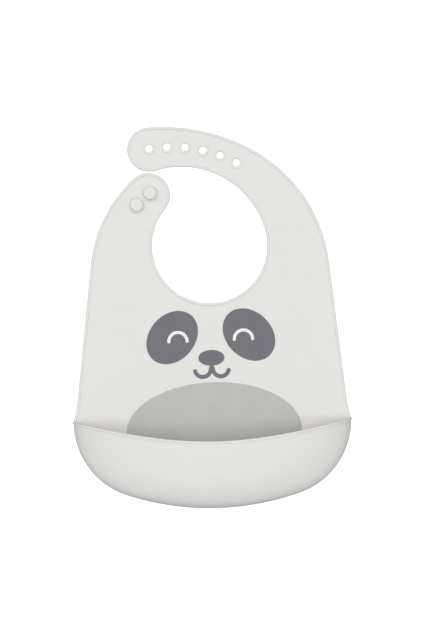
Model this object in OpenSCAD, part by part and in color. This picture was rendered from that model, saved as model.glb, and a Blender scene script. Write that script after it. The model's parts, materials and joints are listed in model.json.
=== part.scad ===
// Catch-pocket baby bib, moulded in one shot of soft silicone and printed with a sleepy animal face.
// The moulding is divided where it bends, so that the strap, the tab and the pocket can move.
// Millimetres.  +Z is up, the front faces -Y, and the origin is the centre of the neck opening's
// lower round, on the back face of the sheet.

/* [Sheet] */
// Thickness of the flat silicone sheet
sheet_t = 2.0; // [1.4:0.1:3]
// Width of the raised bead that runs round the edge
bead_w = 2.3; // [1.6:0.1:3.4]
// Height of the bead above the front of the sheet
bead_h = 0.7; // [0.3:0.1:1.2]

/* [Neck opening and shoulders] */
// Radius of the neck opening's lower round
neck_r = 46; // [40:0.5:56]
// Width of the sheet beside the neck opening
shoulder_w = 49.4; // [42:0.2:62]
// Drop from the neck's centre to where the shoulders run into the straight sides
shoulder_drop = 14.5; // [6:0.5:20]

/* [Strap] */
// Sideways shift of the strap's inner curve from the neck's centre
strap_lean_x = 22.8; // [18:0.1:26]
// Downward shift of the strap's inner curve from the neck's centre
strap_lean_z = 6.4; // [3:0.1:8]
// Width of the strap at its waist
strap_w = 28.6; // [25:0.2:36]
// How much larger the strap's round end is than half its waist
strap_flare = 3.4; // [1.5:0.1:4]
// Direction at which the strap's outer curve flattens, from +X
flatten_angle = 62; // [56:1:70]
// How much larger the flattened curve's radius is
flatten_extra = 31; // [16:0.2:34]
// Direction of the line across the strap where it curls round the neck, from +X
curl_angle = 47; // [44:0.5:50]
// Length of the stretch that bends at the curl
curl_zone = 26; // [18:1:28]

/* [Fastening] */
// Number of holes along the strap
hole_count = 6; // [4:1:6]
// Distance between neighbouring holes, and between the two studs
hole_pitch = 14.4; // [12:0.1:15]
// Radius of each hole
hole_r = 2.8; // [2.2:0.1:3.4]
// Width of the raised ring round each hole
ring_w = 2.1; // [1.2:0.1:2.4]
// Height of the raised ring above the front of the sheet
ring_h = 0.6; // [0.2:0.1:1]
// Radius of the stud tab's round end
tab_r = 17.6; // [15.5:0.1:21]
// Gap between the strap's end and the tab's end
tip_gap = 1.0; // [0.8:0.1:4]
// Radius of a stud's head
stud_head_r = 5.3; // [4.4:0.1:6.4]
// Thickness of a stud's head
stud_head_h = 2.2; // [1.6:0.1:3]
// Room between a stud's stem and a hole's wall
stud_play = 0.4; // [0.2:0.1:0.8]
// Spare height under a stud's head when the strap is on it
stud_slack = 0.3; // [0.1:0.1:0.8]
// Distance from the centre of the tab's round end to the upper stud, towards the tip
stud_lead = 2.0; // [0:0.1:4]
// Direction from the upper stud to the lower one, from +X
stud_row_angle = 221; // [215:1:228]

/* [Folds at the shoulders] */
// Height of the line across both shoulders where the strap and the tab fold back
fold_z = 6; // [2:0.5:9]
// Length of the stretch that bends at each shoulder
fold_zone = 28; // [20:1:30]

/* [Panel and pocket] */
// Width across the pocket's corners
bib_w = 222.4; // [186:0.2:268]
// Drop from the neck's centre to the bottom of the pocket
bib_drop = 209; // [204:1:256]
// Height of the pocket, from its corners to its bottom
pocket_h = 69.5; // [66:0.5:85]
// Height over which the side edges flare out to the pocket's corners
flare_h = 18; // [12:1:36]
// How far the flares carry the corners outwards
flare_w = 1.7; // [0.5:0.1:4]
// Depth of the pocket from the back of the bib to the front of the lip
pocket_d = 38; // [30:0.5:48]
// Radius of the pocket's lower corners
corner_r = 61.4; // [40:0.2:65]
// Sag of the lip below its corners
lip_sag = 15.5; // [8:0.5:22]
// Wall of the pocket
pocket_wall = 2.0; // [1.4:0.1:2.6]
// Half width of the stiff front of the pocket
front_half_w = 75; // [60:1:80]

/* [Printed face] */
// Thickness of one layer of print
print_t = 0.25; // [0.15:0.05:0.5]
// Drop from the neck's centre to the eye patches
eye_drop = 72.4; // [70:0.1:74]
// Distance of each eye patch from the middle
eye_side = 30.7; // [29:0.1:34]
// Half length of an eye patch
eye_long = 23.4; // [21:0.1:24]
// Half width of an eye patch
eye_wide = 18.2; // [16:0.1:19]
// Lean of an eye patch from upright
eye_lean = 43; // [30:1:55]
// Radius of the closed lid's curve
lid_r = 7.3; // [6:0.1:9]
// Width of the lid's line
lid_w = 2.5; // [2:0.1:3.6]
// Distance of each lid's centre from the middle
lid_side = 26.2; // [25:0.1:28]
// Drop from an eye patch's centre to its lid's centre
lid_drop = 3.4; // [2:0.1:6]
// Drop from the eye patches to the nose
nose_drop = 17.4; // [16:0.1:20]
// Half width of the nose
nose_wide = 10.4; // [8:0.1:12]
// Half height of the nose
nose_high = 6.3; // [5:0.1:7]
// Width of the line below the nose
lip_line_w = 3.2; // [2.4:0.1:4]
// Radius of each curve of the mouth
mouth_r = 6.4; // [5:0.1:7.2]
// Distance of each curve's centre from the middle
mouth_side = 7.2; // [6:0.1:8]
// Turn by which each curve stops short of a half circle, at its outer end
mouth_open = 14; // [0:1:40]
// Drop from the nose to the centres of the mouth's curves
mouth_drop = 8.6; // [8:0.1:11]
// Half width of the belly patch
belly_wide = 70; // [60:0.2:76]
// Half height of the belly patch
belly_high = 38.4; // [30:0.2:39]
// Drop from the pocket's corners to the belly patch's centre
belly_drop = 8.2; // [4:0.2:12]
// Turn of the whole print about the nose
print_turn = 1.3; // [-2:0.1:2]

/* [Hidden] */

ivory = "#e6e5e1";
charcoal = "#7b7b83";
dove = "#bababa";
white = "#f6f6f5";

arc_step = 2;        // degrees between points on an edge curve
body_gap = 0.35;     // clearance between solids on different bodies
far = 600;           // larger than the bib
round_p = 0.77;      // power that makes the pocket's section a soft rectangle
trough_back = 0.45;  // share of the pocket's depth behind its lowest line
trough_rise = 0.47;  // rise of the back curve, as a share of the depth
thin_share = 0.42;   // most that the wall may take of the pocket's depth
lip_bow = 0.7;       // width of the lip's round middle, as a share of its half width
trough_v = 0.7;      // where the lowest line lies along the section
fold_v0 = 0.36;      // top of the pocket's bending strip along the section
fold_v1 = 0.46;      // bottom of the strip
diff = 0.01;         // step of the numeric slopes, and of the overlap between sheet and bead
corner_room = 2.2;   // least depth of the pocket at its corners, in walls
hollow_pull = 0.85;  // how far towards the middle a wall's inner side faces
back_steps = 60;     // points along the back line
floor_cells = [60, 18];
front_cells = [30, 8];
strip_cells = [30, 3];
cheek_cells = [16, 10];
round_fn = 48;       // facets of a stud and a hole
cap_fn = 32;         // facets of a line's round end
stem_foot = 1.2;     // flare at the foot of a stud's stem
head_edge = 0.6;     // rounding of a stud's head
nose_gap = 0.07;     // clearance between the nose and the line below it

function unit(a) = [cos(a), sin(a)];
function heading(v) = atan2(v[1], v[0]);

// Points on a circle from one direction to another, both ends included.
function arc(c, r, a0, a1) =
    let (n = max(2, ceil(abs(a1 - a0) / arc_step)))
    [for (i = [0:n]) c + r * unit(a0 + (a1 - a0) * i / n)];

// The point at given distances from two centres, to the left of the line between them.
function meet(c0, r0, c1, r1) =
    let (d = norm(c1 - c0), a = (d * d + r0 * r0 - r1 * r1) / (2 * d), h = sqrt(r0 * r0 - a * a), u = (c1 - c0) / d)
    c0 + a * u + h * [-u[1], u[0]];

// Radius of the circle that touches a straight edge at t, whose outward normal is n, and that
// passes round the circle of radius k at c, touching it from outside.
function wrap_r(t, n, c, k) =
    let (m = t - c)
    (m * m - k * k) / (2 * (m * n - k));

function ellipse(a, b) = [for (i = [0:3:357]) [a * cos(i), b * sin(i)]];
nose_c = [0, -eye_drop - nose_drop];

// ---- outline, as circles that touch one another
half_w = bib_w / 2;
corner_z = pocket_h - bib_drop;
right_side_top = [neck_r + shoulder_w, -shoulder_drop];
left_side_top = [-right_side_top[0], -shoulder_drop];
corner = [half_w, corner_z];
side_tilt = atan2(half_w - flare_w - right_side_top[0], -shoulder_drop - corner_z);
flare_top = corner - [flare_w, 0] + flare_h * unit(side_tilt + 90);
flare_r = (corner - flare_top) * (corner - flare_top) / (2 * (corner - flare_top) * unit(side_tilt));
flare_c = flare_top + flare_r * unit(side_tilt);
flare_end = heading(corner - flare_c) + 360;
strap_end_r = strap_w / 2 + strap_flare;
inner_c = [-strap_lean_x, -strap_lean_z];
inner_r = neck_r + norm(inner_c);
outer_r = wrap_r(right_side_top, unit(side_tilt), inner_c, inner_r + strap_w);
outer_c = right_side_top - outer_r * unit(side_tilt);
flat_r = outer_r + flatten_extra;
flat_c = outer_c - flatten_extra * unit(flatten_angle);
end_c = meet(flat_c, flat_r - strap_end_r, inner_c, inner_r + strap_end_r);
tab_c = meet([0, 0], neck_r + tab_r, end_c, strap_end_r + tab_r + tip_gap);
left_r = wrap_r(left_side_top, unit(180 - side_tilt), tab_c, tab_r);
left_c = left_side_top - left_r * unit(180 - side_tilt);
mid_c = (inner_c + flat_c) / 2;
mid_r = (inner_r + flat_r) / 2;
gap_mid = end_c + (strap_end_r + tip_gap / 2) * (tab_c - end_c) / norm(tab_c - end_c);

// ---- pocket
bottom_r = let (e = half_w - corner_r, g = pocket_h)
    (e * e + g * g - corner_r * corner_r) / (2 * (g - corner_r));
bottom_c = bottom_r - bib_drop;
corner_join = (half_w - corner_r) * bottom_r / (bottom_r - corner_r);
end_angle = acos(corner_room * pocket_wall / pocket_d);
front_angle = asin(front_half_w / half_w);

function bottom_z(x) = abs(x) < corner_join
    ? bottom_c - sqrt(bottom_r * bottom_r - x * x)
    : corner_z - sqrt(max(0, corner_r * corner_r - pow(abs(x) - half_w + corner_r, 2)));
function lip_rise(s) = (sqrt(1 + pow(s / lip_bow, 2)) - 1) / (sqrt(1 + 1 / pow(lip_bow, 2)) - 1);
function lip_z(x) = corner_z - lip_sag * (1 - lip_rise(x / half_w));
function back_z(t) = bottom_z(half_w * sin(t)) + trough_rise * pocket_d * cos(t);

// A point on the pocket's outer face: t runs from corner to corner, v from the lip to the back.
function pocket_pt(t, v) =
    let (x = half_w * sin(t), d = pocket_d * cos(t), zl = lip_z(x), zb = bottom_z(x), back = trough_back * d)
    v <= trough_v
    ? let (f = 90 * v / trough_v)
      [x, -back - (d - back) * pow(cos(f), round_p), zl - (zl - zb) * pow(sin(f), round_p)]
    : let (f = 90 * min(1, (v - trough_v) / (1 - trough_v)), rise = trough_rise * d)
      [x, -back + back * pow(sin(f), round_p), zb + rise - rise * pow(max(0, cos(f)), round_p)];

// The matching point on its inner face.  The wall thins where the pocket closes at its corners.
function pocket_in(t, v) =
    let (step_t = t < 0 ? diff : -diff, step_v = v < trough_v / 2 ? diff / 2 : -diff / 2)
    let (p = pocket_pt(t, v), pt = pocket_pt(t + step_t, v), pv = pocket_pt(t, v + step_v))
    let (n = cross(pt - p, pv - p), x = p[0], d = pocket_d * cos(t), hollow = [hollow_pull * x, -trough_back * d, lip_z(x)])
    p + min(pocket_wall, thin_share * d) * n / norm(n) * sign(n * (hollow - p));

// The body gap, along the section and round the pocket.
gap_v = body_gap * (fold_v1 - fold_v0) / norm(pocket_pt(0, fold_v1) - pocket_pt(0, fold_v0));
gap_a = body_gap / (half_w * cos(front_angle)) * 180 / PI;

// ---- strap curl
curl_dir = unit(curl_angle);
curl_run = [-curl_dir[1], curl_dir[0]];
curl_c = outer_c + (outer_r - strap_w / 2) * curl_dir;

// ---- folds
fold_lo = fold_z - fold_zone / 2;
fold_hi = fold_z + fold_zone / 2;

// ---- studs and holes
hole_step = 2 * asin(hole_pitch / 2 / mid_r);
hole_start = heading(end_c - mid_c);
stem_r = hole_r - stud_play;
stem_h = sheet_t + ring_h + stud_slack;
upper_stud_c = tab_c - stud_lead * unit(stud_row_angle);
lower_stud_c = upper_stud_c + hole_pitch * unit(stud_row_angle);

// The bib's edge moved inwards by w.  Its lower end follows the pocket's back line, moved down by tail.
function outline(w, tail) = concat(
    [[half_w - w / cos(flare_end), corner_z - tail]],
    arc(flare_c, flare_r + w, flare_end, 180 + side_tilt),
    arc(outer_c, outer_r - w, side_tilt, flatten_angle),
    arc(flat_c, flat_r - w, flatten_angle, heading(end_c - flat_c)),
    arc(end_c, strap_end_r - w, heading(end_c - flat_c), heading(inner_c - end_c) + 360),
    arc(inner_c, inner_r + w, heading(end_c - inner_c), heading(-inner_c)),
    arc([0, 0], neck_r + w, heading(-inner_c), heading(tab_c) - 360),
    arc(tab_c, tab_r - w, heading(-tab_c), heading(tab_c - left_c)),
    arc(left_c, left_r - w, heading(tab_c - left_c), 180 - side_tilt),
    arc([-flare_c[0], flare_c[1]], flare_r + w, -side_tilt, 180 - flare_end),
    [[w / cos(flare_end) - half_w, corner_z - tail]],
    [for (i = [0:back_steps]) let (t = end_angle * (2 * i / back_steps - 1)) [half_w * sin(t), back_z(t) - tail]]);

// Stands a flat shape up, so that it reaches from depth y0 to depth y1 in front of the back face.
module upright(y0, y1) {
    rotate([90, 0, 0]) translate([0, 0, y0]) linear_extrude(y1 - y0) children();
}

// Everything beyond a line through p that faces direction a.
module beyond(p, a) {
    translate(p) rotate(a) translate([0, -far / 2]) square(far);
}

// The whole flat moulding with its bead.
module skin() {
    upright(0, sheet_t) polygon(outline(0, 0));
    upright(sheet_t - diff, sheet_t + bead_h) difference() {
        polygon(outline(0, 0));
        polygon(outline(bead_w, 2 * bead_w));
    }
}

// The part of the moulding within a flat region.
module skin_piece() {
    color(ivory) intersection() {
        skin();
        upright(-1, sheet_t + bead_h + 1) children();
    }
}

// The left shoulder and the tab, below the gap to the strap's end.
module tab_side() {
    intersection() {
        beyond([(tab_c[0] + tab_r) / 2, 0], 180);
        beyond(gap_mid, heading(tab_c - end_c));
    }
}

module strap_side() {
    difference() {
        beyond([0, fold_hi], 90);
        tab_side();
    }
}

module chest_panel() {
    skin_piece() beyond([0, fold_lo - body_gap], 270);
}

module right_shoulder_bend() {
    skin_piece() translate([0, fold_lo]) square([far, fold_zone]);
}

module left_shoulder_bend() {
    skin_piece() translate([-far, fold_lo]) square([far, fold_zone]);
}

module strap_shoulder() {
    skin_piece() intersection() {
        strap_side();
        beyond(curl_c - (curl_zone / 2 + body_gap) * curl_run, curl_angle - 90);
    }
}

module strap_bend() {
    skin_piece() intersection() {
        strap_side();
        beyond(curl_c - curl_zone / 2 * curl_run, curl_angle + 90);
        beyond(curl_c + curl_zone / 2 * curl_run, curl_angle - 90);
    }
}

module hole_places() {
    for (i = [0:hole_count - 1]) {
        p = mid_c + mid_r * unit(hole_start - i * hole_step);
        translate([p[0], 0, p[1]]) children();
    }
}

module strap_end() {
    color(ivory) difference() {
        union() {
            skin_piece() intersection() {
                strap_side();
                beyond(curl_c + curl_zone / 2 * curl_run, curl_angle + 90);
            }
            hole_places() rotate([90, 0, 0]) cylinder(h = sheet_t + ring_h, r = hole_r + ring_w, $fn = round_fn);
        }
        hole_places() rotate([90, 0, 0]) translate([0, 0, -1]) cylinder(h = sheet_t + ring_h + 2, r = hole_r, $fn = round_fn);
    }
}

module stud_tab() {
    skin_piece() intersection() {
        beyond([0, fold_hi], 90);
        tab_side();
    }
}

// A mushroom stud that stands on the front of the tab.
module stud(c) {
    color(ivory) translate([c[0], -sheet_t, c[1]]) rotate([90, 0, 0]) {
        cylinder(h = stem_h, r = stem_r, $fn = round_fn);
        rotate_extrude($fn = round_fn) polygon([[0, 0], [stem_r + stem_foot, 0], [stem_r, stem_foot], [0, stem_foot]]);
        translate([0, 0, stem_h]) rotate_extrude($fn = round_fn) polygon([
            [0, 0], [stud_head_r - head_edge, 0], [stud_head_r, head_edge], [stud_head_r, stud_head_h - 2 * head_edge],
            [stud_head_r - head_edge, stud_head_h - head_edge / 2], [stud_head_r / 2, stud_head_h], [0, stud_head_h]]);
    }
}

module upper_stud() {
    stud(upper_stud_c);
}

module lower_stud() {
    stud(lower_stud_c);
}

// One layer of print on the front of the sheet.
module print_layer(n) {
    upright(sheet_t + n * print_t, sheet_t + (n + 1) * print_t)
        translate(nose_c) rotate(print_turn) translate(-nose_c) children();
}

module eye_patch(side) {
    color(charcoal) print_layer(0) translate([side * eye_side, -eye_drop]) rotate(side * eye_lean)
        polygon(ellipse(eye_wide, eye_long));
}

module left_eye_patch() {
    eye_patch(-1);
}

module right_eye_patch() {
    eye_patch(1);
}

// A curved line of print with round ends.
module curved_line(c, r, w, a0, a1) {
    translate(c) {
        polygon(concat(arc([0, 0], r + w / 2, a0, a1), arc([0, 0], r - w / 2, a1, a0)));
        for (a = [a0, a1]) translate(r * unit(a)) circle(d = w, $fn = cap_fn);
    }
}

module lid_line(side) {
    color(white) print_layer(1) curved_line([side * lid_side, -eye_drop - lid_drop], lid_r, lid_w, 0, 180);
}

module left_lid_line() {
    lid_line(-1);
}

module right_lid_line() {
    lid_line(1);
}

module nose() {
    color(charcoal) print_layer(0) translate(nose_c) polygon(ellipse(nose_wide, nose_high));
}

module mouth() {
    nose_z = nose_c[1];
    color(charcoal) print_layer(0) difference() {
        union() {
            curved_line([-mouth_side, nose_z - mouth_drop], mouth_r, lip_line_w, 180 + mouth_open, 360);
            curved_line([mouth_side, nose_z - mouth_drop], mouth_r, lip_line_w, 180, 360 - mouth_open);
            translate([-lip_line_w / 2, nose_z - mouth_drop]) square([lip_line_w, mouth_drop]);
        }
        translate([0, nose_z]) polygon(ellipse(nose_wide + nose_gap, nose_high + nose_gap));
    }
}

module belly_patch() {
    color(dove) print_layer(0) translate([0, corner_z - belly_drop]) polygon(ellipse(belly_wide, belly_high));
}

// A patch of the pocket's wall between two directions and two places along the section.
module pocket_patch(t0, t1, v0, v1, cells) {
    nt = cells[0];
    nv = cells[1];
    cols = nv + 1;
    count = (nt + 1) * cols;
    grid = [for (i = [0:nt]) for (j = [0:nv]) [t0 + (t1 - t0) * i / nt, v0 + (v1 - v0) * j / nv]];
    rim = concat(
        [for (j = [0:nv]) j],
        [for (i = [1:nt]) i * cols + nv],
        [for (j = [nv - 1:-1:0]) nt * cols + j],
        [for (i = [nt - 1:-1:1]) i * cols]);
    outer = [for (g = grid) pocket_pt(g[0], g[1])];
    inner = [for (g = grid) pocket_in(g[0], g[1])];
    first = [for (i = [0:nt - 1]) for (j = [0:nv - 1]) i * cols + j];
    outer_faces = [for (c = first) each [[c, c + 1, c + cols + 1], [c, c + cols + 1, c + cols]]];
    inner_faces = [for (f = outer_faces) [f[2] + count, f[1] + count, f[0] + count]];
    rim_faces = [for (k = [0:len(rim) - 1]) let (a = rim[k], b = rim[(k + 1) % len(rim)])
        each [[b, a, a + count], [b, a + count, b + count]]];
    color(ivory) polyhedron(concat(outer, inner), concat(outer_faces, inner_faces, rim_faces));
}

module pocket_floor() {
    pocket_patch(-end_angle, end_angle, fold_v1, 1, floor_cells);
}

module pocket_fold_strip() {
    pocket_patch(-front_angle, front_angle, fold_v0 + gap_v, fold_v1, strip_cells);
}

module left_pocket_cheek() {
    pocket_patch(-end_angle, -front_angle - gap_a, 0, fold_v1, cheek_cells);
}

module right_pocket_cheek() {
    pocket_patch(front_angle + gap_a, end_angle, 0, fold_v1, cheek_cells);
}

module pocket_front() {
    pocket_patch(-front_angle, front_angle, 0, fold_v0, front_cells);
}

chest_panel();
left_eye_patch();
right_eye_patch();
left_lid_line();
right_lid_line();
nose();
mouth();
belly_patch();
pocket_floor();
left_pocket_cheek();
right_pocket_cheek();
pocket_fold_strip();
pocket_front();
right_shoulder_bend();
strap_shoulder();
strap_bend();
strap_end();
left_shoulder_bend();
stud_tab();
upper_stud();
lower_stud();
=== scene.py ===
"""Soft silicone catch-pocket bib: its moulded skin, printed face and finishes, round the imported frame."""

import json
import logging
import math
from dataclasses import dataclass, field
from enum import Enum

import bmesh
import bpy
from mathutils import Matrix, Vector


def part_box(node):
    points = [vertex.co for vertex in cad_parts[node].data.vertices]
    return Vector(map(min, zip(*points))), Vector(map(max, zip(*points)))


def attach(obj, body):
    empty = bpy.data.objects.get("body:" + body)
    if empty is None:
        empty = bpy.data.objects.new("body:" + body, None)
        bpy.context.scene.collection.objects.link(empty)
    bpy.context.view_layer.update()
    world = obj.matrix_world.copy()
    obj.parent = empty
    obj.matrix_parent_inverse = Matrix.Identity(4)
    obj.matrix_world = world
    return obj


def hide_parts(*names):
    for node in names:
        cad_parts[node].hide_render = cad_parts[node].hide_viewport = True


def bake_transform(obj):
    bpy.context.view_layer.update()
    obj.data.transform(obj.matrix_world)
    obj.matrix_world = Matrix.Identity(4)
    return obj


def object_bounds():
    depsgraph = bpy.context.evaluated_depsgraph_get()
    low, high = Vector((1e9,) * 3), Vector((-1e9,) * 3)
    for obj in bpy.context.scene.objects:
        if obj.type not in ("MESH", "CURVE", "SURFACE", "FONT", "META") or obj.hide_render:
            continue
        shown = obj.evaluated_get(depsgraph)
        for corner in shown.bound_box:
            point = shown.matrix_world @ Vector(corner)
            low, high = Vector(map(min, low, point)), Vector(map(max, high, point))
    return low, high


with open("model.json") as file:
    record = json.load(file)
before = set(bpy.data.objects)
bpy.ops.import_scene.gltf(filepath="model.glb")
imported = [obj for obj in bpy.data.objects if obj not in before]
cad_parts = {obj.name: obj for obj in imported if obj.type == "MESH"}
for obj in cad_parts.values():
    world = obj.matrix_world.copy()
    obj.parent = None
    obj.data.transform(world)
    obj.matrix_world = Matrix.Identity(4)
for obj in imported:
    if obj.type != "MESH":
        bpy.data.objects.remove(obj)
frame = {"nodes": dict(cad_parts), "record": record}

log = logging.getLogger("bib")
MM = 0.001
WELD_REACH = 0.002 * MM
# The stored value and the limits for the painted side shade: surfaces turned sideways are darkened in colour
# to stand in for their shade under the frontal light.
SIDE_SHADE = "side"
FLAT_FACING = 0.98
ROUND_FACING = 0.8
ROUND_SHADE_SHARE = 0.55
cad_box = [list(corner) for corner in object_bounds()]

Colour = tuple[float, float, float, float]


def tint(red: int, green: int, blue: int) -> Colour:
    """Turns a swatch's screen values into the linear colour that a shader works in.

    Args:
        red: Red, from 0 to 255.
        green: Green, from 0 to 255.
        blue: Blue, from 0 to 255.

    Returns:
        The linear colour, opaque.
    """
    parts = [value / 255 for value in (red, green, blue)]
    linear = [p / 12.92 if p <= 0.04045 else ((p + 0.055) / 1.055) ** 2.4 for p in parts]
    return (linear[0], linear[1], linear[2], 1.0)


def ease(value: float) -> float:
    """Runs smoothly from 0 to 1 as value does."""
    value = min(1.0, max(0.0, value))
    return value * value * (3 - 2 * value)


def steps(start: float, end: float, count: int) -> list[float]:
    """Evenly spaced values, both ends included.

    Args:
        start: The first value.
        end: The last value.
        count: How many steps lie between them.

    Returns:
        count + 1 values.
    """
    return [start + (end - start) * i / count for i in range(count + 1)]


# ------------------------------------------------------------------ shader wiring


class Wire:
    """One number or colour on its way through a material, used like a Python number."""

    def __init__(self, bench: "Bench", socket: bpy.types.NodeSocket) -> None:
        """Picks up a value.

        Args:
            bench: Where its material is laid out.
            socket: The output that it comes from.
        """
        self.bench = bench
        self.socket = socket

    def _math(self, operation: str, *values: "Wire | float") -> "Wire":
        """Adds one Math node.

        Args:
            operation: The node's operation.
            values: Its inputs, in order.

        Returns:
            The result.
        """
        node = self.bench.node("ShaderNodeMath", {"operation": operation}, dict(enumerate(values)))
        return Wire(self.bench, node.outputs[0])

    def __add__(self, other: "Wire | float") -> "Wire":
        """Sum."""
        return self._math("ADD", self, other)

    def __radd__(self, other: float) -> "Wire":
        """Sum, with the number first."""
        return self._math("ADD", other, self)

    def __sub__(self, other: "Wire | float") -> "Wire":
        """Difference."""
        return self._math("SUBTRACT", self, other)

    def __rsub__(self, other: float) -> "Wire":
        """Difference, with the number first."""
        return self._math("SUBTRACT", other, self)

    def __mul__(self, other: "Wire | float") -> "Wire":
        """Product."""
        return self._math("MULTIPLY", self, other)

    def __rmul__(self, other: float) -> "Wire":
        """Product, with the number first."""
        return self._math("MULTIPLY", other, self)

    def __truediv__(self, other: "Wire | float") -> "Wire":
        """Quotient."""
        return self._math("DIVIDE", self, other)

    def __rtruediv__(self, other: float) -> "Wire":
        """Quotient, with the number first."""
        return self._math("DIVIDE", other, self)

    def __pow__(self, other: "Wire | float") -> "Wire":
        """Power."""
        return self._math("POWER", self, other)

    def ramp(self, low: float, high: float, at_low: float = 0.0, at_high: float = 1.0) -> "Wire":
        """Maps low to high smoothly onto at_low to at_high, and holds both ends.

        Args:
            low: Where the run starts.
            high: Where it ends.
            at_low: The result at and before low.
            at_high: The result at and after high.

        Returns:
            The mapped value.
        """
        node = self.bench.node(
            "ShaderNodeMapRange",
            {"interpolation_type": "SMOOTHSTEP"},
            {"Value": self, "From Min": low, "From Max": high, "To Min": at_low, "To Max": at_high},
        )
        return Wire(self.bench, node.outputs["Result"])


class Bench:
    """Lays out the nodes of one material or world."""

    def __init__(self, tree: bpy.types.NodeTree) -> None:
        """Clears a tree to start from.

        Args:
            tree: The material's or the world's nodes.
        """
        self.tree = tree
        tree.nodes.clear()

    def node(self, kind: str, settings: dict[str, object], inputs: dict[object, object]) -> bpy.types.Node:
        """Adds a node, sets it up and joins its sockets.

        Args:
            kind: The node's type name.
            settings: Properties, set first.
            inputs: A value or a Wire for each socket, by name or by number.

        Returns:
            The node.
        """
        made = self.tree.nodes.new(kind)
        for name, value in settings.items():
            setattr(made, name, value)
        for name, value in inputs.items():
            if isinstance(value, Wire):
                self.tree.links.new(value.socket, made.inputs[name])
            else:
                made.inputs[name].default_value = value
        return made

    def coordinates(self) -> tuple[Wire, Wire, Wire, Wire]:
        """The object's own coordinates.

        Returns:
            The whole vector, then X, Y and Z.
        """
        source = self.node("ShaderNodeTexCoord", {}, {})
        place = Wire(self, source.outputs["Object"])
        split = self.node("ShaderNodeSeparateXYZ", {}, {0: place})
        x, y, z = (Wire(self, socket) for socket in split.outputs)
        return place, x, y, z

    def noise(self, place: Wire, size: float, detail: float = 2.0, roughness: float = 0.5) -> Wire:
        """A cloudy pattern round 0.5.

        Args:
            place: Where it is read.
            size: The size of one cloud, in metres.
            detail: How many finer layers it has.
            roughness: How strong those are.

        Returns:
            The pattern.
        """
        made = self.node(
            "ShaderNodeTexNoise",
            {},
            {"Vector": place, "Scale": 1 / size, "Detail": detail, "Roughness": roughness},
        )
        return Wire(self, made.outputs["Fac"])

    def stored(self, name: str) -> Wire:
        """A value kept with each corner of the mesh."""
        return Wire(self, self.node("ShaderNodeAttribute", {"attribute_name": name}, {}).outputs["Fac"])

    def blend(self, share: Wire | float, first: Wire | Colour, second: Wire | Colour) -> Wire:
        """Mixes two colours.

        Args:
            share: How much of the second.
            first: The first colour.
            second: The second colour.

        Returns:
            The mixed colour.
        """
        made = self.node("ShaderNodeMix", {"data_type": "RGBA"}, {0: share, 6: first, 7: second})
        return Wire(self, made.outputs[2])

    def bump(self, height: Wire, distance: float, strength: float, under: Wire | None = None) -> Wire:
        """Raises the surface by a pattern.

        Args:
            height: The pattern.
            distance: What 1 in the pattern stands for, in metres.
            strength: How much of it shows.
            under: A coarser relief below this one.

        Returns:
            The bent normal.
        """
        inputs: dict[object, object] = {"Height": height, "Distance": distance, "Strength": strength}
        if under is not None:
            inputs["Normal"] = under
        return Wire(self, self.node("ShaderNodeBump", {}, inputs).outputs[0])

    def surface(self, shader: bpy.types.Node) -> None:
        """Ends the material in a shader."""
        self.node("ShaderNodeOutputMaterial", {}, {"Surface": Wire(self, shader.outputs[0])})


def new_material(name: str) -> tuple[bpy.types.Material, Bench]:
    """Starts a material.

    Args:
        name: Its name.

    Returns:
        The material and its bench.
    """
    made = bpy.data.materials.new(name)
    made.use_nodes = True
    return made, Bench(made.node_tree)


# ------------------------------------------------------------------ finishes


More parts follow.
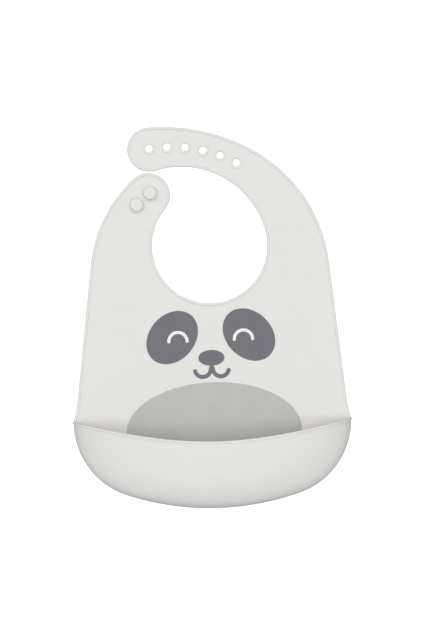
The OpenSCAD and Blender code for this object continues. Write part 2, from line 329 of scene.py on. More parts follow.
@dataclass(frozen=True)
class SiliconeFinish:
    """Matt moulded silicone: faint clouds, a fine grain, a painted warm shade tint where the pocket meets
    the panel and painted shade on the sides.
    """

    body: Colour = tint(231, 230, 227)
    cloud: Colour = tint(229, 229, 226)
    # Painted warm shade tint for the crease along the lip line.
    shade_warm: Colour = tint(232, 228, 217)
    # Painted shade: the grey that sideways-facing surfaces are darkened towards.
    side_shade: Colour = tint(192, 192, 189)
    cloud_size: float = 38 * MM
    patch_size: float = 9 * MM
    grain_size: float = 0.42 * MM
    grain_height: float = 0.012 * MM
    wave_size: float = 26 * MM
    wave_height: float = 0.16 * MM
    roughness: float = 0.5
    rough_patches: float = 0.1
    rough_grain: float = 0.08
    # Strength and reach of the painted warm shade tint along the lip line.
    shade_warm_share: float = 0.6
    shade_warm_above: tuple[float, float] = (13 * MM, -1 * MM)
    shade_warm_below: tuple[float, float] = (-9 * MM, -4 * MM)
    shade_warm_front: tuple[float, float] = (-0.6 * MM, -1.6 * MM)
    shade_warm_depth: tuple[float, float] = (-4.2 * MM, -3.2 * MM)

    def make(self, pocket: "CatchPocket") -> bpy.types.Material:
        """Lays out the material.

        Args:
            pocket: Gives the line along which the painted warm shade tint lies.

        Returns:
            The material.
        """
        made, bench = new_material("ivory_silicone_matt")
        place, x, y, z = bench.coordinates()
        cloud = bench.noise(place, self.cloud_size, 3.0)
        patch = bench.noise(place, self.patch_size, 2.0, 0.6)
        grain = bench.noise(place, self.grain_size, 2.0, 0.65)
        # Painted warm shade tint: a band on the sheet's front along the crease where the lip meets the panel
        # is tinted warm, standing in for the shade there.
        across = x / (pocket.half_w * pocket.lip_bow)
        above = z - (pocket.lip(0) + ((across * across + 1) ** 0.5 - 1) * pocket.lip_climb)
        front = y.ramp(*self.shade_warm_front)
        on_sheet = y.ramp(*self.shade_warm_depth)
        lip_shade_tint = above.ramp(*self.shade_warm_above) * above.ramp(*self.shade_warm_below) * front * on_sheet
        clouds = (cloud * 0.6 + patch * 0.4).ramp(0.38, 0.62)
        colour = bench.blend(clouds, self.body, self.cloud)
        colour = bench.blend(lip_shade_tint * self.shade_warm_share, colour, self.shade_warm)
        # Painted shade: surfaces that face sideways are darkened towards the grey.
        colour = bench.blend(bench.stored(SIDE_SHADE), colour, self.side_shade)
        rough = self.roughness + (patch - 0.5) * self.rough_patches + (grain - 0.5) * self.rough_grain
        wave = bench.bump(bench.noise(place, self.wave_size, 1.0), self.wave_height, 0.6)
        relief = bench.bump(grain, self.grain_height, 0.7, wave)
        shader = bench.node(
            "ShaderNodeBsdfPrincipled",
            {},
            {
                "Base Color": colour,
                "Roughness": rough,
                "Normal": relief,
                "Specular IOR Level": 0.32,
                "Sheen Weight": 0.06,
                "Sheen Roughness": 0.5,
            },
        )
        bench.surface(shader)
        return made


@dataclass(frozen=True)
class PrintFinish:
    """Matt silicone ink: even colour with a fine screen-printed mottle and slightly drier patches."""

    name: str
    ink: Colour
    dry: Colour
    roughness: float = 0.58
    mottle_size: float = 1.1 * MM
    patch_size: float = 14 * MM
    grain_size: float = 0.3 * MM
    grain_height: float = 0.01 * MM
    rough_patches: float = 0.12
    rough_mottle: float = 0.1

    def make(self) -> bpy.types.Material:
        """Lays out the material.

        Returns:
            The material.
        """
        made, bench = new_material(self.name)
        place, _, _, _ = bench.coordinates()
        mottle = bench.noise(place, self.mottle_size, 3.0, 0.6)
        patch = bench.noise(place, self.patch_size, 2.0)
        grain = bench.noise(place, self.grain_size, 1.0)
        dry = (mottle * 0.45 + patch * 0.55).ramp(0.36, 0.66)
        rough = self.roughness + (patch - 0.5) * self.rough_patches + (mottle - 0.5) * self.rough_mottle
        shader = bench.node(
            "ShaderNodeBsdfPrincipled",
            {},
            {
                "Base Color": bench.blend(dry, self.ink, self.dry),
                "Roughness": rough,
                "Normal": bench.bump(grain * 0.6 + mottle * 0.4, self.grain_height, 0.6),
                "Specular IOR Level": 0.25,
            },
        )
        bench.surface(shader)
        return made


class Ink(Enum):
    """The three inks of the printed face."""

    CHARCOAL = PrintFinish("charcoal_ink_matt", tint(113, 113, 121), tint(117, 117, 124))
    DOVE = PrintFinish("dove_grey_ink_matt", tint(189, 189, 187), tint(193, 193, 191))
    WHITE = PrintFinish("white_ink_matt", tint(245, 245, 244), tint(241, 241, 240))


PRINTED: dict[Ink, tuple[str, ...]] = {
    Ink.CHARCOAL: ("left_eye_patch", "right_eye_patch", "nose", "mouth"),
    Ink.DOVE: ("belly_patch",),
    Ink.WHITE: ("left_lid_line", "right_lid_line"),
}


# ------------------------------------------------------------------ mesh helpers


@dataclass(frozen=True)
class Seam:
    """A straight line across the sheet, as an upright plane that faces along the sheet."""

    point: Vector
    facing: Vector

    def ahead(self, place: Vector) -> float:
        """How far a place lies beyond the seam, in metres."""
        return (place - self.point).dot(self.facing)

    def moved(self, distance: float) -> "Seam":
        """The same seam, moved ahead by a distance."""
        return Seam(self.point + distance * self.facing, self.facing)

    def cut(self, bm: bmesh.types.BMesh) -> None:
        """Cuts a loop of edges where the seam crosses a mesh."""
        whole = bm.verts[:] + bm.edges[:] + bm.faces[:]
        bmesh.ops.bisect_plane(bm, geom=whole, dist=WELD_REACH, plane_co=self.point, plane_no=self.facing)

    def trim(self, bm: bmesh.types.BMesh, keep_ahead: bool) -> None:
        """Cuts a mesh off at the seam and closes it with a crisp flat end.

        Args:
            bm: The mesh.
            keep_ahead: Whether the part ahead of the seam is the part that stays.
        """
        whole = bm.verts[:] + bm.edges[:] + bm.faces[:]
        made = bmesh.ops.bisect_plane(
            bm,
            geom=whole,
            dist=WELD_REACH,
            plane_co=self.point,
            plane_no=self.facing,
            clear_inner=keep_ahead,
            clear_outer=not keep_ahead,
        )
        rim = [item for item in made["geom_cut"] if isinstance(item, bmesh.types.BMEdge)]
        bmesh.ops.edgeloop_fill(bm, edges=[edge for edge in rim if edge.is_boundary])
        for edge in rim:
            edge.smooth = False


def keep_joined(bm: bmesh.types.BMesh, seed: bmesh.types.BMVert) -> None:
    """Deletes everything that isn't joined to one vertex.

    Args:
        bm: The mesh.
        seed: A vertex of the part that stays.
    """
    reached = {seed}
    waiting = [seed]
    while waiting:
        for edge in waiting.pop().link_edges:
            for vertex in edge.verts:
                if vertex not in reached:
                    reached.add(vertex)
                    waiting.append(vertex)
    bmesh.ops.delete(bm, geom=[vertex for vertex in bm.verts if vertex not in reached], context="VERTS")


def make_piece(
    bm: bmesh.types.BMesh, name: str, finish: bpy.types.Material, flat: bool = False
) -> bpy.types.Object:
    """Turns a finished mesh into a piece at the origin, and marks how far each place faces sideways, for the
    painted shade on the sides.

    Args:
        bm: The mesh, which is used up.
        name: The piece's name.
        finish: Its material.
        flat: Whether it is a flat sheet, whose faces keep flat shading beside their crisp rounded edges.

    Returns:
        The piece.
    """
    for face in bm.faces:
        face.smooth = True
    bm.normal_update()
    # Painted shade: this stored value darkens the colour where the surface faces sideways, standing in for
    # the shade of the frontal light.
    side = bm.verts.layers.float.new(SIDE_SHADE)
    for vertex in bm.verts:
        if flat:
            facing = max(abs(face.normal.y) for face in vertex.link_faces)
            vertex[side] = ease(1 - facing / FLAT_FACING)
        else:
            vertex[side] = ROUND_SHADE_SHARE * ease(1 - abs(vertex.normal.y) / ROUND_FACING)
    data = bpy.data.meshes.new(name)
    bm.to_mesh(data)
    bm.free()
    data.materials.append(finish)
    piece = bpy.data.objects.new(name, data)
    bpy.context.scene.collection.objects.link(piece)
    if flat:
        weights = piece.modifiers.new("flat_faces", "WEIGHTED_NORMAL")
        weights.keep_sharp = True
        weights.weight = 50
    log.info("%s: %d faces", name, len(data.polygons))
    return piece


def node_side(name: str, end: int, axis: int) -> float:
    """One side of a solid's box.

    Args:
        name: The solid.
        end: 0 for the low side, 1 for the high side.
        axis: 0, 1 or 2 for X, Y or Z.

    Returns:
        The side's place, in metres.
    """
    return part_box(name)[end][axis]


def joint_named(name: str) -> dict[str, object]:
    """The frame's entry for one joint."""
    return next(joint for joint in frame["record"]["behaviour"]["joints"] if joint["name"] == name)


def panel_corner() -> Vector:
    """The corner of the panel where it meets the lip, on the side of positive X."""
    return max(frame["nodes"]["chest_panel"].data.vertices, key=lambda vertex: vertex.co.x).co


# ------------------------------------------------------------------ the flat moulding


@dataclass
class FlatMoulding:
    """The sheet with its raised edge bead, from the panel's lower edge round to the strap's end.

    Attributes:
        solids: The frame's solids that it is welded from.
        rim_round: Rounding of the outer edge at the front, and back_round at the back.
        bead_round: Rounding of the bead's inner edge.
        ring_round: Rounding of the rings and of the holes at the back, and hole_round of the holes in front.
        foot_round: The small hollow where a bead or a ring meets the sheet.
        bend_step: How far apart the loops lie where the sheet bends.
        ring_height: How far the rings stand up from the sheet.
        level: How near to a depth an edge counts as being on it.
        gap_reach: The widest gap between two solids that is closed.
        corner_play: How far below the panel's corner an edge is still rounded.
        flat_angle: Facets that turn by less than this become one face.
    """

    solids: tuple[str, ...] = (
        "chest_panel",
        "right_shoulder_bend",
        "strap_shoulder",
        "strap_bend",
        "strap_end",
        "left_shoulder_bend",
        "stud_tab",
    )
    rim_round: float = 1.15 * MM
    back_round: float = 0.5 * MM
    bead_round: float = 0.46 * MM
    ring_round: float = 0.38 * MM
    hole_round: float = 0.95 * MM
    foot_round: float = 0.18 * MM
    bend_step: float = 1.4 * MM
    ring_height: float = 0.6 * MM
    level: float = 0.02 * MM
    gap_reach: float = 0.46 * MM
    corner_play: float = 0.2 * MM
    flat_angle: float = math.radians(0.35)

    def __post_init__(self) -> None:
        """Reads the depths and the seams from the frame."""
        up = Vector((0, 0, 1))
        self.low_z = panel_corner().z - self.corner_play
        self.front_y = node_side("belly_patch", 1, 1)
        self.bead_y = node_side("chest_panel", 0, 1)
        self.ring_y = self.front_y - self.ring_height
        self.fold_low = Seam(Vector((0, 0, node_side("right_shoulder_bend", 0, 2))), up)
        self.fold_high = Seam(Vector((0, 0, node_side("right_shoulder_bend", 1, 2))), up)
        self.gap = self.fold_low.point.z - node_side("chest_panel", 1, 2)
        curl = joint_named("strap_curl")
        axis = Vector(curl["axis"])
        along = Vector((axis.z, 0, -axis.x)).normalized()
        middle = Seam(Vector(curl["pos_m"]), along)
        reach = [middle.ahead(vertex.co) for vertex in frame["nodes"]["strap_bend"].data.vertices]
        self.curl_low = middle.moved(min(reach))
        self.curl_high = middle.moved(max(reach))

    def whole(self) -> bmesh.types.BMesh:
        """Welds the solids of the sheet into one closed skin and rounds its edges.

        Returns:
            The skin.
        """
        bm = bmesh.new()
        for name in self.solids:
            bm.from_mesh(frame["nodes"][name].data)
        self._weld(bm)
        bmesh.ops.dissolve_limit(bm, angle_limit=self.flat_angle, verts=bm.verts, edges=bm.edges)
        self._round(bm)
        log.info("sheet skin: %d faces, %d open edges", len(bm.faces), sum(e.is_boundary for e in bm.edges))
        return bm

    def _weld(self, bm: bmesh.types.BMesh) -> None:
        """Opens the solids where they meet and closes the gaps between them.

        Args:
            bm: The solids as loose triangles.
        """
        bm.normal_update()
        gaps = [self.fold_low, self.fold_low.moved(-self.gap), self.curl_low, self.curl_low.moved(-self.gap)]
        seams = gaps + [self.fold_high, self.curl_high]
        inner = [face for face in bm.faces if any(self._lies_on(face, seam) for seam in seams)]
        bmesh.ops.delete(bm, geom=inner, context="FACES")
        bmesh.ops.remove_doubles(bm, verts=bm.verts, dist=self.level / 4)
        open_verts = [vertex for vertex in bm.verts if vertex.is_boundary]
        bmesh.ops.remove_doubles(bm, verts=open_verts, dist=self.gap_reach)

    def _lies_on(self, face: bmesh.types.BMFace, seam: Seam) -> bool:
        """Whether a face is one of the flat ends that meet at a seam."""
        level = abs(seam.ahead(face.calc_center_median())) < self.level
        return level and abs(face.normal.dot(seam.facing)) > 0.999

    def _corners(self, bm: bmesh.types.BMesh, at_y: float, reach_y: float) -> list[bmesh.types.BMEdge]:
        """Crisp edges at one depth whose upright wall ends at another depth.

        Args:
            bm: The skin.
            at_y: The depth of the edges.
            reach_y: The depth of the wall's other side.

        Returns:
            The edges, without those of the panel's lower edge, which the pocket grows from.
        """
        found = []
        for edge in bm.edges:
            if len(edge.link_faces) != 2:
                continue
            if any(abs(vertex.co.y - at_y) > self.level for vertex in edge.verts):
                continue
            walls = [face for face in edge.link_faces if abs(face.normal.y) < 0.5]
            if len(walls) != 1 or walls[0].calc_center_median().z < self.low_z:
                continue
            ends = [vertex.co.y for vertex in walls[0].verts]
            far_side = max(ends) if abs(min(ends) - at_y) < self.level else min(ends)
            if abs(far_side - reach_y) < self.level:
                found.append(edge)
        return found

    def _round(self, bm: bmesh.types.BMesh) -> None:
        """Rounds the rim, the bead, the hole rings and the back edges.

        Args:
            bm: The welded skin with crisp edges.
        """
        # Each row is an edge's depth, the far side of its wall, the rounding and how many steps it has.
        for at_y, reach_y, offset, segments in (
            (self.bead_y, 0.0, self.rim_round, 5),
            (0.0, self.bead_y, self.back_round, 3),
            (self.bead_y, self.front_y, self.bead_round, 3),
            (self.front_y, self.bead_y, self.foot_round, 2),
            (self.ring_y, self.front_y, self.ring_round, 3),
            (self.ring_y, 0.0, self.hole_round, 5),
            (0.0, self.ring_y, self.ring_round, 3),
            (self.front_y, self.ring_y, self.foot_round, 2),
        ):
            bm.normal_update()
            edges = self._corners(bm, at_y, reach_y)
            log.info("rounding %d edges at %.2f mm by %.2f mm", len(edges), at_y / MM, offset / MM)
            bmesh.ops.bevel(
                bm,
                geom=edges,
                offset=offset,
                offset_type="OFFSET",
                affect="EDGES",
                segments=segments,
                profile=0.5,
                material=-1,
                loop_slide=True,
            )

    def _soften(self, bm: bmesh.types.BMesh, first: Seam, last: Seam) -> None:
        """Cuts closely spaced loops across a stretch that bends.

        Args:
            bm: The piece.
            first: Where the stretch starts.
            last: Where it ends.
        """
        length = last.ahead(last.point) - last.ahead(first.point)
        count = round(length / self.bend_step)
        for distance in steps(0, length, count)[1:]:
            first.moved(distance).cut(bm)

    def build(self, finish: bpy.types.Material) -> None:
        """Divides the skin where it bends, and sets the panel piece on the bib's body.

        Args:
            finish: The silicone.
        """
        skin = self.whole()
        self._panel(skin.copy(), finish)
        self._shoulder(skin.copy(), finish)
        self._strap_tip(skin.copy(), finish)
        self._tab(skin, finish)

    def _panel(self, bm: bmesh.types.BMesh, finish: bpy.types.Material) -> None:
        """The chest panel, below the folds at the shoulders.

        Args:
            bm: A copy of the skin.
            finish: The silicone.
        """
        self.fold_low.trim(bm, keep_ahead=False)
        piece = make_piece(bm, "chest_panel_skin", finish, flat=True)
        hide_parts("chest_panel")
        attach(piece, "bib")

    def _shoulder(self, bm: bmesh.types.BMesh, finish: bpy.types.Material) -> None:
        """The right shoulder and the lower stretch of the strap.

        Args:
            bm: A copy of the skin.
            finish: The silicone.
        """
        self.fold_low.trim(bm, keep_ahead=True)
        keep_joined(bm, max(bm.verts, key=lambda vertex: vertex.co.x))
        self.curl_low.trim(bm, keep_ahead=False)
        self._soften(bm, self.fold_low, self.fold_high)
        piece = make_piece(bm, "right_shoulder_skin", finish, flat=True)
        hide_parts("right_shoulder_bend", "strap_shoulder")
        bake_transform(piece)

    def _strap_tip(self, bm: bmesh.types.BMesh, finish: bpy.types.Material) -> None:
        """The strap from its curl to its round end, with the row of holes.

        Args:
            bm: A copy of the skin.
            finish: The silicone.
        """
        self.fold_low.trim(bm, keep_ahead=True)
        keep_joined(bm, max(bm.verts, key=lambda vertex: vertex.co.x))
        self.curl_low.trim(bm, keep_ahead=True)
        self._soften(bm, self.curl_low, self.curl_high)
        piece = make_piece(bm, "strap_tip_skin", finish, flat=True)
        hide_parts("strap_bend", "strap_end")
        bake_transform(piece)

    def _tab(self, bm: bmesh.types.BMesh, finish: bpy.types.Material) -> None:
        """The left shoulder and the tab that carries the studs.

        Args:
            bm: A copy of the skin.
            finish: The silicone.
        """
        self.fold_low.trim(bm, keep_ahead=True)
        keep_joined(bm, min(bm.verts, key=lambda vertex: vertex.co.x))
        self._soften(bm, self.fold_low, self.fold_high)
        piece = make_piece(bm, "stud_tab_skin", finish, flat=True)
        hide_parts("left_shoulder_bend", "stud_tab")
        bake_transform(piece)


# ------------------------------------------------------------------ the pocket


@dataclass
class CatchPocket:
    """The catch pocket: one curved wall from the panel's lower edge round to a beaded lip.

    Attributes:
        lip_sag: How far the lip's middle hangs below its corners.
        lip_bow: The share of the half width over which the lip's curve turns.
        corner_r: Radius of the two lower corners.
        wall: The wall's thickness.
        squareness: Exponent of the section's soft rectangle, where 2 would be an ellipse.
        trough_back: Where the lowest line lies, as a share of the depth.
        trough_rise: How far the trough's back climbs the panel, as a share of the depth.
        thin_share: The most that the wall may take of the depth, near the narrow ends.
        end_angle: Where the narrow ends are closed, on either side of the middle.
        bead_out: How far the lip's bead stands out, bead_long how long it is and bead_fade how soon it ends.
        lip_up: How far below the top the rounded cap starts.
        nub: Half sizes of the bead's round end, across, deep and high.
        nub_out: How far that end stands out past the panel's corner.
        press_from: The depth where the front would start to move when pressed; not used.
    """

    lip_sag: float = 15.5 * MM
    lip_bow: float = 0.7
    corner_r: float = 61.4 * MM
    wall: float = 2 * MM
    squareness: float = 2 / 0.77
    trough_back: float = 0.45
    trough_rise: float = 0.47
    thin_share: float = 0.42
    end_angle: float = math.radians(86)
    bead_out: float = 0.4 * MM
    bead_long: float = 1.5 * MM
    bead_fade: float = 0.7 * MM
    lip_up: float = 1.0 * MM
    columns: int = 180
    front_rows: int = 34
    back_rows: int = 20
    bead_rows: int = 4
    cap_rows: int = 12
    nub: tuple[float, float, float] = (2.0 * MM, 1.5 * MM, 1.25 * MM)
    nub_out: float = 0.9 * MM
    press_from: float = 3 * MM

    def __post_init__(self) -> None:
        """Reads the pocket's extent from the frame."""
        corner = panel_corner()
        self.half_w = corner.x
        self.corner_z = corner.z
        self.depth = -node_side("pocket_front", 0, 1)
        self.bottom_z = node_side("pocket_floor", 0, 2)
        self.lip_climb = self.lip_sag / (math.hypot(1, 1 / self.lip_bow) - 1)
        flat = self.half_w - self.corner_r
        high = self.corner_z - self.bottom_z
        self.bottom_r = (flat * flat + high * high - self.corner_r**2) / (2 * (high - self.corner_r))
        self.bottom_c = self.bottom_r + self.bottom_z
        self.corner_join = flat * self.bottom_r / (self.bottom_r - self.corner_r)

    def lip(self, x: float) -> float:
        """Height of the lip at a place across the bib."""
        rise = math.hypot(1, x / self.half_w / self.lip_bow) - 1
        return self.corner_z - self.lip_sag + self.lip_climb * rise

    def bottom(self, x: float) -> float:
        """Height of the pocket's lowest line.

        Args:
            x: The place across the bib.

        Returns:
            The height, on the wide arc in the middle and on the corner's arc beside it.
        """
        if abs(x) < self.corner_join:
            return self.bottom_c - math.sqrt(self.bottom_r**2 - x * x)
        side = abs(x) - self.half_w + self.corner_r
        return self.corner_z - math.sqrt(max(0.0, self.corner_r**2 - side * side))

    def _quarter(self, turn: float) -> tuple[float, float]:
        """A point on a quarter of a soft rectangle.

        Args:
            turn: Its direction, from 0 to 1 for 0 to 90 degrees.

        Returns:
            Its two shares of the quarter's sides.
        """
        along, up = math.cos(turn * math.pi / 2), math.sin(turn * math.pi / 2)
        if min(along, up) < 1e-9:
            return round(along), round(up)
        size = (along**self.squareness + up**self.squareness) ** (-1 / self.squareness)
        return along * size, up * size

    def skin(self, angle: float, turn: float) -> Vector:
        """A point on the pocket's outer face.

        Args:
            angle: Its direction round the pocket, 0 in the middle.
            turn: 0 at the lip, 1 at the lowest line and 2 where the wall meets the panel.

        Returns:
            The point.
        """
        x = self.half_w * math.sin(angle)
        deep = self.depth * math.cos(angle)
        back = self.trough_back * deep
        low, high = self.bottom(x), self.lip(x)
        if turn <= 1:
            out, down = self._quarter(turn)
            return Vector((x, -back - (deep - back) * out, high - (high - low) * down))
        rise = self.trough_rise * deep
        down, out = self._quarter(turn - 1)
        return Vector((x, -back + back * out, low + rise - rise * down))

    def _facing(self, angle: float, turn: float) -> Vector:
        """The outward direction of the outer face.

        Args:
            angle: The direction round the pocket.
            turn: The place along the section.

        Returns:
            A unit vector.
        """
        small = 1e-3
        sideways = self.skin(angle + small, turn) - self.skin(angle - small, turn)
        low, high = max(0.0, turn - small), min(2.0, turn + small)
        along = self.skin(angle, high) - self.skin(angle, low)
        facing = sideways.cross(along).normalized()
        inside = (0.8 * self.half_w * math.sin(angle), 0.5 * -self.depth * math.cos(angle), self.lip(0))
        middle = Vector(inside)
        return facing if facing.dot(self.skin(angle, turn) - middle) > 0 else -facing

    def section(self, angle: float) -> list[Vector]:
        """The wall's closed section: up the outer face, over the lip and down the inner face.

        Args:
            angle: The direction round the pocket.

        Returns:
            The points, from the panel's back face to its front face.
        """
        x = self.half_w * math.sin(angle)
        height = self.lip(x) - self.bottom(x)
        wall = min(self.wall, self.thin_share * self.depth * math.cos(angle))
        shrink = wall / self.wall
        bead = self.bead_out * shrink
        top = math.asin(min(0.5, self.lip_up / height)) * 2 / math.pi
        hold = math.asin(min(0.6, self.bead_long / height)) * 2 / math.pi
        fade = math.asin(min(0.7, (self.bead_long + self.bead_fade) / height)) * 2 / math.pi
        points = [self.skin(angle, turn) for turn in steps(2, 1, self.back_rows)]
        points += [self.skin(angle, turn) for turn in steps(1, fade, self.front_rows)[1:]]
        for turn in steps(fade, hold, self.bead_rows)[1:] + [(hold + top) / 2]:
            share = ease((fade - turn) / (fade - hold))
            points.append(self.skin(angle, turn) + share * bead * self._facing(angle, turn))
        facing = self._facing(angle, top)
        middle = self.skin(angle, top) + (bead - wall) / 2 * facing
        up = self.skin(angle, 0) - self.skin(angle, top)
        for lean in steps(0, math.pi, self.cap_rows):
            points.append(middle + (wall + bead) / 2 * math.cos(lean) * facing + math.sin(lean) * up)
        inner = [top + (fade - top) * k / 3 for k in (1, 2)]
        inner += steps(fade, 1, self.front_rows) + steps(1, 2, self.back_rows)[1:]
        points += [self.skin(angle, turn) - wall * self._facing(angle, turn) for turn in inner]
        return points

    def build(self, finish: bpy.types.Material) -> None:
        """Moulds the pocket.

        Args:
            finish: The silicone.
        """
        angles = steps(-self.end_angle, self.end_angle, self.columns)
        sections = [self.section(angle) for angle in angles]
        rows = len(sections[0]) - 1
        bm = bmesh.new()
        grid = bmesh.ops.create_grid(bm, x_segments=self.columns, y_segments=rows, size=1.0)
        for vertex in grid["verts"]:
            column = round((vertex.co.x + 1) / 2 * self.columns)
            row = round((vertex.co.y + 1) / 2 * rows)
            vertex.co = sections[column][row]
        self._close(bm, sections)
        self._add_nubs(bm)
        piece = make_piece(bm, "catch_pocket_skin", finish)
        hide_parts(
            "pocket_front",
            "pocket_floor",
            "pocket_fold_strip",
            "left_pocket_cheek",
            "right_pocket_cheek",
        )
        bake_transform(piece)

    def _close(self, bm: bmesh.types.BMesh, sections: list[list[Vector]]) -> None:
        """Closes the strip against the panel and the two narrow ends.

        Args:
            bm: The open wall.
            sections: Its sections, from one end to the other.
        """
        first = {tuple(round(c, 7) for c in section[0]) for section in sections}
        last = {tuple(round(c, 7) for c in section[-1]) for section in sections}
        strips = [[], []]
        for edge in bm.edges:
            keys = {tuple(round(c, 7) for c in vertex.co) for vertex in edge.verts}
            if edge.is_boundary and keys <= first:
                strips[0].append(edge)
            elif edge.is_boundary and keys <= last:
                strips[1].append(edge)
        bmesh.ops.bridge_loops(bm, edges=strips[0] + strips[1])
        for edge in strips[0] + strips[1]:
            edge.smooth = False
        ends = [edge for edge in bm.edges if edge.is_boundary]
        bmesh.ops.holes_fill(bm, edges=ends, sides=0)
        bmesh.ops.recalc_face_normals(bm, faces=bm.faces)
        log.info("pocket wall: %d open edges", sum(edge.is_boundary for edge in bm.edges))

    def _add_nubs(self, bm: bmesh.types.BMesh) -> None:
        """Adds the small round end of the lip's bead at each corner.

        Args:
            bm: The wall.
        """
        wide, deep, high = self.nub
        size = Matrix.Diagonal((wide, deep, high, 1))
        out = self.half_w - wide + self.nub_out
        for side in (-1, 1):
            place = Matrix.Translation((side * out, -deep, self.corner_z - high / 2))
            bmesh.ops.create_uvsphere(bm, u_segments=24, v_segments=16, radius=1.0, matrix=place @ size)


# ------------------------------------------------------------------ the studs


@dataclass
class Stud:
    """A mushroom stud: flared foot, stem and a soft round head with a shallow dimple.

    Attributes:
        solid: The frame's solid that it takes its place and size from.
        foot: Radius of the hollow flare where the stem meets the tab.
        edge: Rounding of the head's rim in front, and under_edge at the back.
        crown: How far the head's middle stands up from its rim.
        sunk: How far the foot goes into the tab.
        neck_edge: Size of the slope where the stem meets the head.
    """

    solid: str
    stem_r: float = 2.4 * MM
    foot: float = 1.2 * MM
    head_thick: float = 2.2 * MM
    edge: float = 1.0 * MM
    under_edge: float = 0.6 * MM
    dimple_r: float = 2.6 * MM
    dimple: float = 0.28 * MM
    crown: float = 0.35 * MM
    sunk: float = 0.3 * MM
    neck_edge: float = 0.2 * MM
    around: int = 64

    def _profile(self) -> list[tuple[float, float]]:
        """Half of the stud's section.

        Returns:
            Radius and height above the foot, from the foot's centre to the head's centre.
        """
        low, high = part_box(self.solid)
        head_r = (high.x - low.x) / 2
        tall = high.y - low.y
        under = tall - self.head_thick
        shoulder = tall - self.crown
        points = [(0.0, -self.sunk), (self.stem_r + self.foot, -self.sunk)]
        for lean in steps(0, math.pi / 2, 6):
            radius = self.stem_r + self.foot * (1 - math.sin(lean))
            points.append((radius, self.foot * (1 - math.cos(lean))))
        points.append((self.stem_r, under - self.neck_edge))
        points.append((self.stem_r + self.neck_edge, under))
        for lean in steps(-math.pi / 2, 0, 5):
            radius = head_r - self.under_edge * (1 - math.cos(lean))
            points.append((radius, under + self.under_edge * (1 + math.sin(lean))))
        for lean in steps(0, math.pi / 2, 7)[1:]:
            radius = head_r - self.edge * (1 - math.cos(lean))
            points.append((radius, shoulder - self.edge * (1 - math.sin(lean))))
        flat_r = head_r - self.edge
        for share in steps(1, 0, 14)[1:]:
            radius = flat_r * share
            hollow = self.dimple * ease(1 - radius / self.dimple_r)
            points.append((radius, tall - self.crown * share**2 - hollow))
        return points

    def build(self, name: str, finish: bpy.types.Material) -> None:
        """Turns the stud and sets it on the tab.

        Args:
            name: The piece's name.
            finish: The silicone.
        """
        low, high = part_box(self.solid)
        centre = (low + high) / 2
        bm = bmesh.new()
        corners = [bm.verts.new((centre.x + r, high.y - h, centre.z)) for r, h in self._profile()]
        edges = [bm.edges.new(pair) for pair in zip(corners, corners[1:])]
        bmesh.ops.spin(
            bm,
            geom=corners + edges,
            cent=(centre.x, 0, centre.z),
            axis=(0, 1, 0),
            angle=2 * math.pi,
            steps=self.around,
            use_merge=True,
        )
        bmesh.ops.remove_doubles(bm, verts=bm.verts, dist=WELD_REACH)
        bmesh.ops.recalc_face_normals(bm, faces=bm.faces)
        piece = make_piece(bm, name, finish)
        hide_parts(self.solid)
        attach(piece, "tab")


# ------------------------------------------------------------------ the printed face


@dataclass
class PrintedFace:
    """The sleepy face and the belly, as thin layers of ink on the panel."""

    def dress(self) -> None:
        """Gives each printed layer its ink."""
        for ink, names in PRINTED.items():
            finish = ink.value.make()
            for name in names:
                layer = frame["nodes"][name]
                for place in layer.material_slots:
                    place.material = finish
                log.info("%s: %s", name, finish.name)


# ------------------------------------------------------------------ floor, light and camera


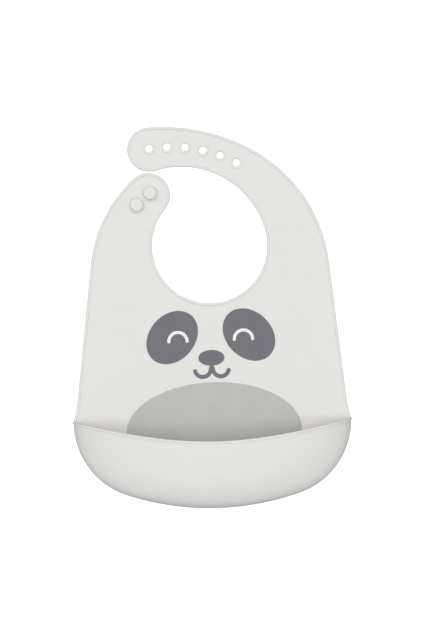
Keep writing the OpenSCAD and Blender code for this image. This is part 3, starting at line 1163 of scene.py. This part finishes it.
@dataclass
class Studio:
    """A plain pale floor, soft light all round and a level camera in front.

    Attributes:
        aim: The point that the camera and the soft light look at.
        distance: From the camera to that point, in metres.
        view_height: How much the view takes in from top to bottom, in metres.
        roll: How far the camera leans.
        flat_share: The share of the floor's reach that is flat, before it turns up.
        room: Brightness of the room, and back_glow how much brighter it is behind the bib.
    """

    aim: Vector = field(default_factory=lambda: Vector((1.4 * MM, 0, -57.6 * MM)))
    distance: float = 2.2
    view_height: float = 0.508
    roll: float = math.radians(0.93)
    floor_drop: float = 0.16
    floor_reach: float = 9.0
    flat_share: float = 0.6
    floor_glow: float = 0.9
    room: float = 0.46
    back_glow: float = 0.5
    key_place: Vector = field(default_factory=lambda: Vector((-0.1, -3.0, 0.2)))
    key_size: float = 3.4
    key_power: float = 66.0

    def build(self) -> None:
        """Sets everything up."""
        bpy.context.scene.view_settings.view_transform = "Standard"
        self._cove()
        self._sky()
        self._lamp("key_softbox", self.key_place, self.key_size, self.key_power)
        self._camera()

    def _cove(self) -> None:
        """Lays the floor below the bib and turns it up all round, far off, into a pale wall."""
        bm = bmesh.new()
        low = cad_box[0][2] - self.floor_drop
        flat, turn = self.floor_reach * self.flat_share, self.floor_reach * (1 - self.flat_share)
        line = [(0, low)]
        for lean in steps(0, math.pi / 2, 12):
            line.append((flat + turn * math.sin(lean), low + turn * (1 - math.cos(lean))))
        line.append((flat + turn, self.floor_reach))
        profile = [bm.verts.new((reach, 0, high)) for reach, high in line]
        edges = [bm.edges.new(pair) for pair in zip(profile, profile[1:])]
        bmesh.ops.spin(bm, geom=profile + edges, axis=(0, 0, 1), angle=math.tau, steps=96, use_merge=True)
        bmesh.ops.remove_doubles(bm, verts=bm.verts, dist=0.01 * MM)
        bmesh.ops.recalc_face_normals(bm, faces=bm.faces)
        made, bench = new_material("pale_floor")
        place, _, _, _ = bench.coordinates()
        cloud = bench.noise(place, 0.3, 2.0).ramp(0.35, 0.65)
        shader = bench.node(
            "ShaderNodeBsdfPrincipled",
            {},
            {
                "Base Color": bench.blend(cloud, tint(250, 250, 250), tint(247, 247, 246)),
                "Roughness": 0.8,
                "Emission Color": (1, 1, 1, 1),
                "Emission Strength": self.floor_glow,
            },
        )
        bench.surface(shader)
        cove = make_piece(bm, "floor", made)
        cove.visible_diffuse = cove.visible_glossy = cove.visible_shadow = False

    def _sky(self) -> None:
        """Makes an even room, a little brighter behind the bib."""
        world = bpy.data.worlds.new("studio")
        bpy.context.scene.world = world
        world.use_nodes = True
        bench = Bench(world.node_tree)
        source = bench.node("ShaderNodeTexCoord", {}, {})
        split = bench.node("ShaderNodeSeparateXYZ", {}, {0: Wire(bench, source.outputs["Generated"])})
        back = Wire(bench, split.outputs[1]).ramp(0.45, 0.95, 0, self.back_glow)
        above = Wire(bench, split.outputs[2]).ramp(-0.6, 0.1, self.room - 0.1, self.room + 0.04)
        shade = bench.node("ShaderNodeBackground", {}, {"Color": (1, 1, 1, 1), "Strength": back + above})
        bench.node("ShaderNodeOutputWorld", {}, {"Surface": Wire(bench, shade.outputs[0])})

    def _lamp(self, name: str, place: Vector, size: float, power: float) -> None:
        """Hangs one soft square light that faces the bib.

        Args:
            name: Its name.
            place: Its place.
            size: Its side, in metres.
            power: Its power, in watts.
        """
        data = bpy.data.lights.new(name, "AREA")
        data.size = size
        data.energy = power
        lamp = bpy.data.objects.new(name, data)
        lamp.location = place
        lamp.rotation_euler = (self.aim - place).to_track_quat("-Z", "Y").to_euler()
        lamp.visible_camera = False
        bpy.context.scene.collection.objects.link(lamp)

    def _camera(self) -> None:
        """Puts the camera level with the bib, straight in front."""
        data = bpy.data.cameras.new("camera")
        data.lens = data.sensor_width * self.distance / self.view_height
        camera = bpy.data.objects.new("camera", data)
        right = Vector((math.cos(self.roll), 0, -math.sin(self.roll)))
        up = Vector((math.sin(self.roll), 0, math.cos(self.roll)))
        back = Vector((0, -1, 0))
        turn = Matrix((right, up, back)).transposed().to_4x4()
        camera.matrix_world = Matrix.Translation(self.aim + self.distance * back) @ turn
        bpy.context.scene.collection.objects.link(camera)
        bpy.context.scene.camera = camera


# ------------------------------------------------------------------ assembly


def main() -> None:
    """Builds the bib's skins round the frame, dresses the print and lights the scene."""
    logging.basicConfig(level=logging.INFO, format="%(name)s: %(message)s")
    Studio().build()
    pocket = CatchPocket()
    silicone = SiliconeFinish().make(pocket)
    FlatMoulding().build(silicone)
    pocket.build(silicone)
    Stud("upper_stud").build("upper_stud_button", silicone)
    Stud("lower_stud").build("lower_stud_button", silicone)
    PrintedFace().dress()


if __name__ == "__main__":
    main()
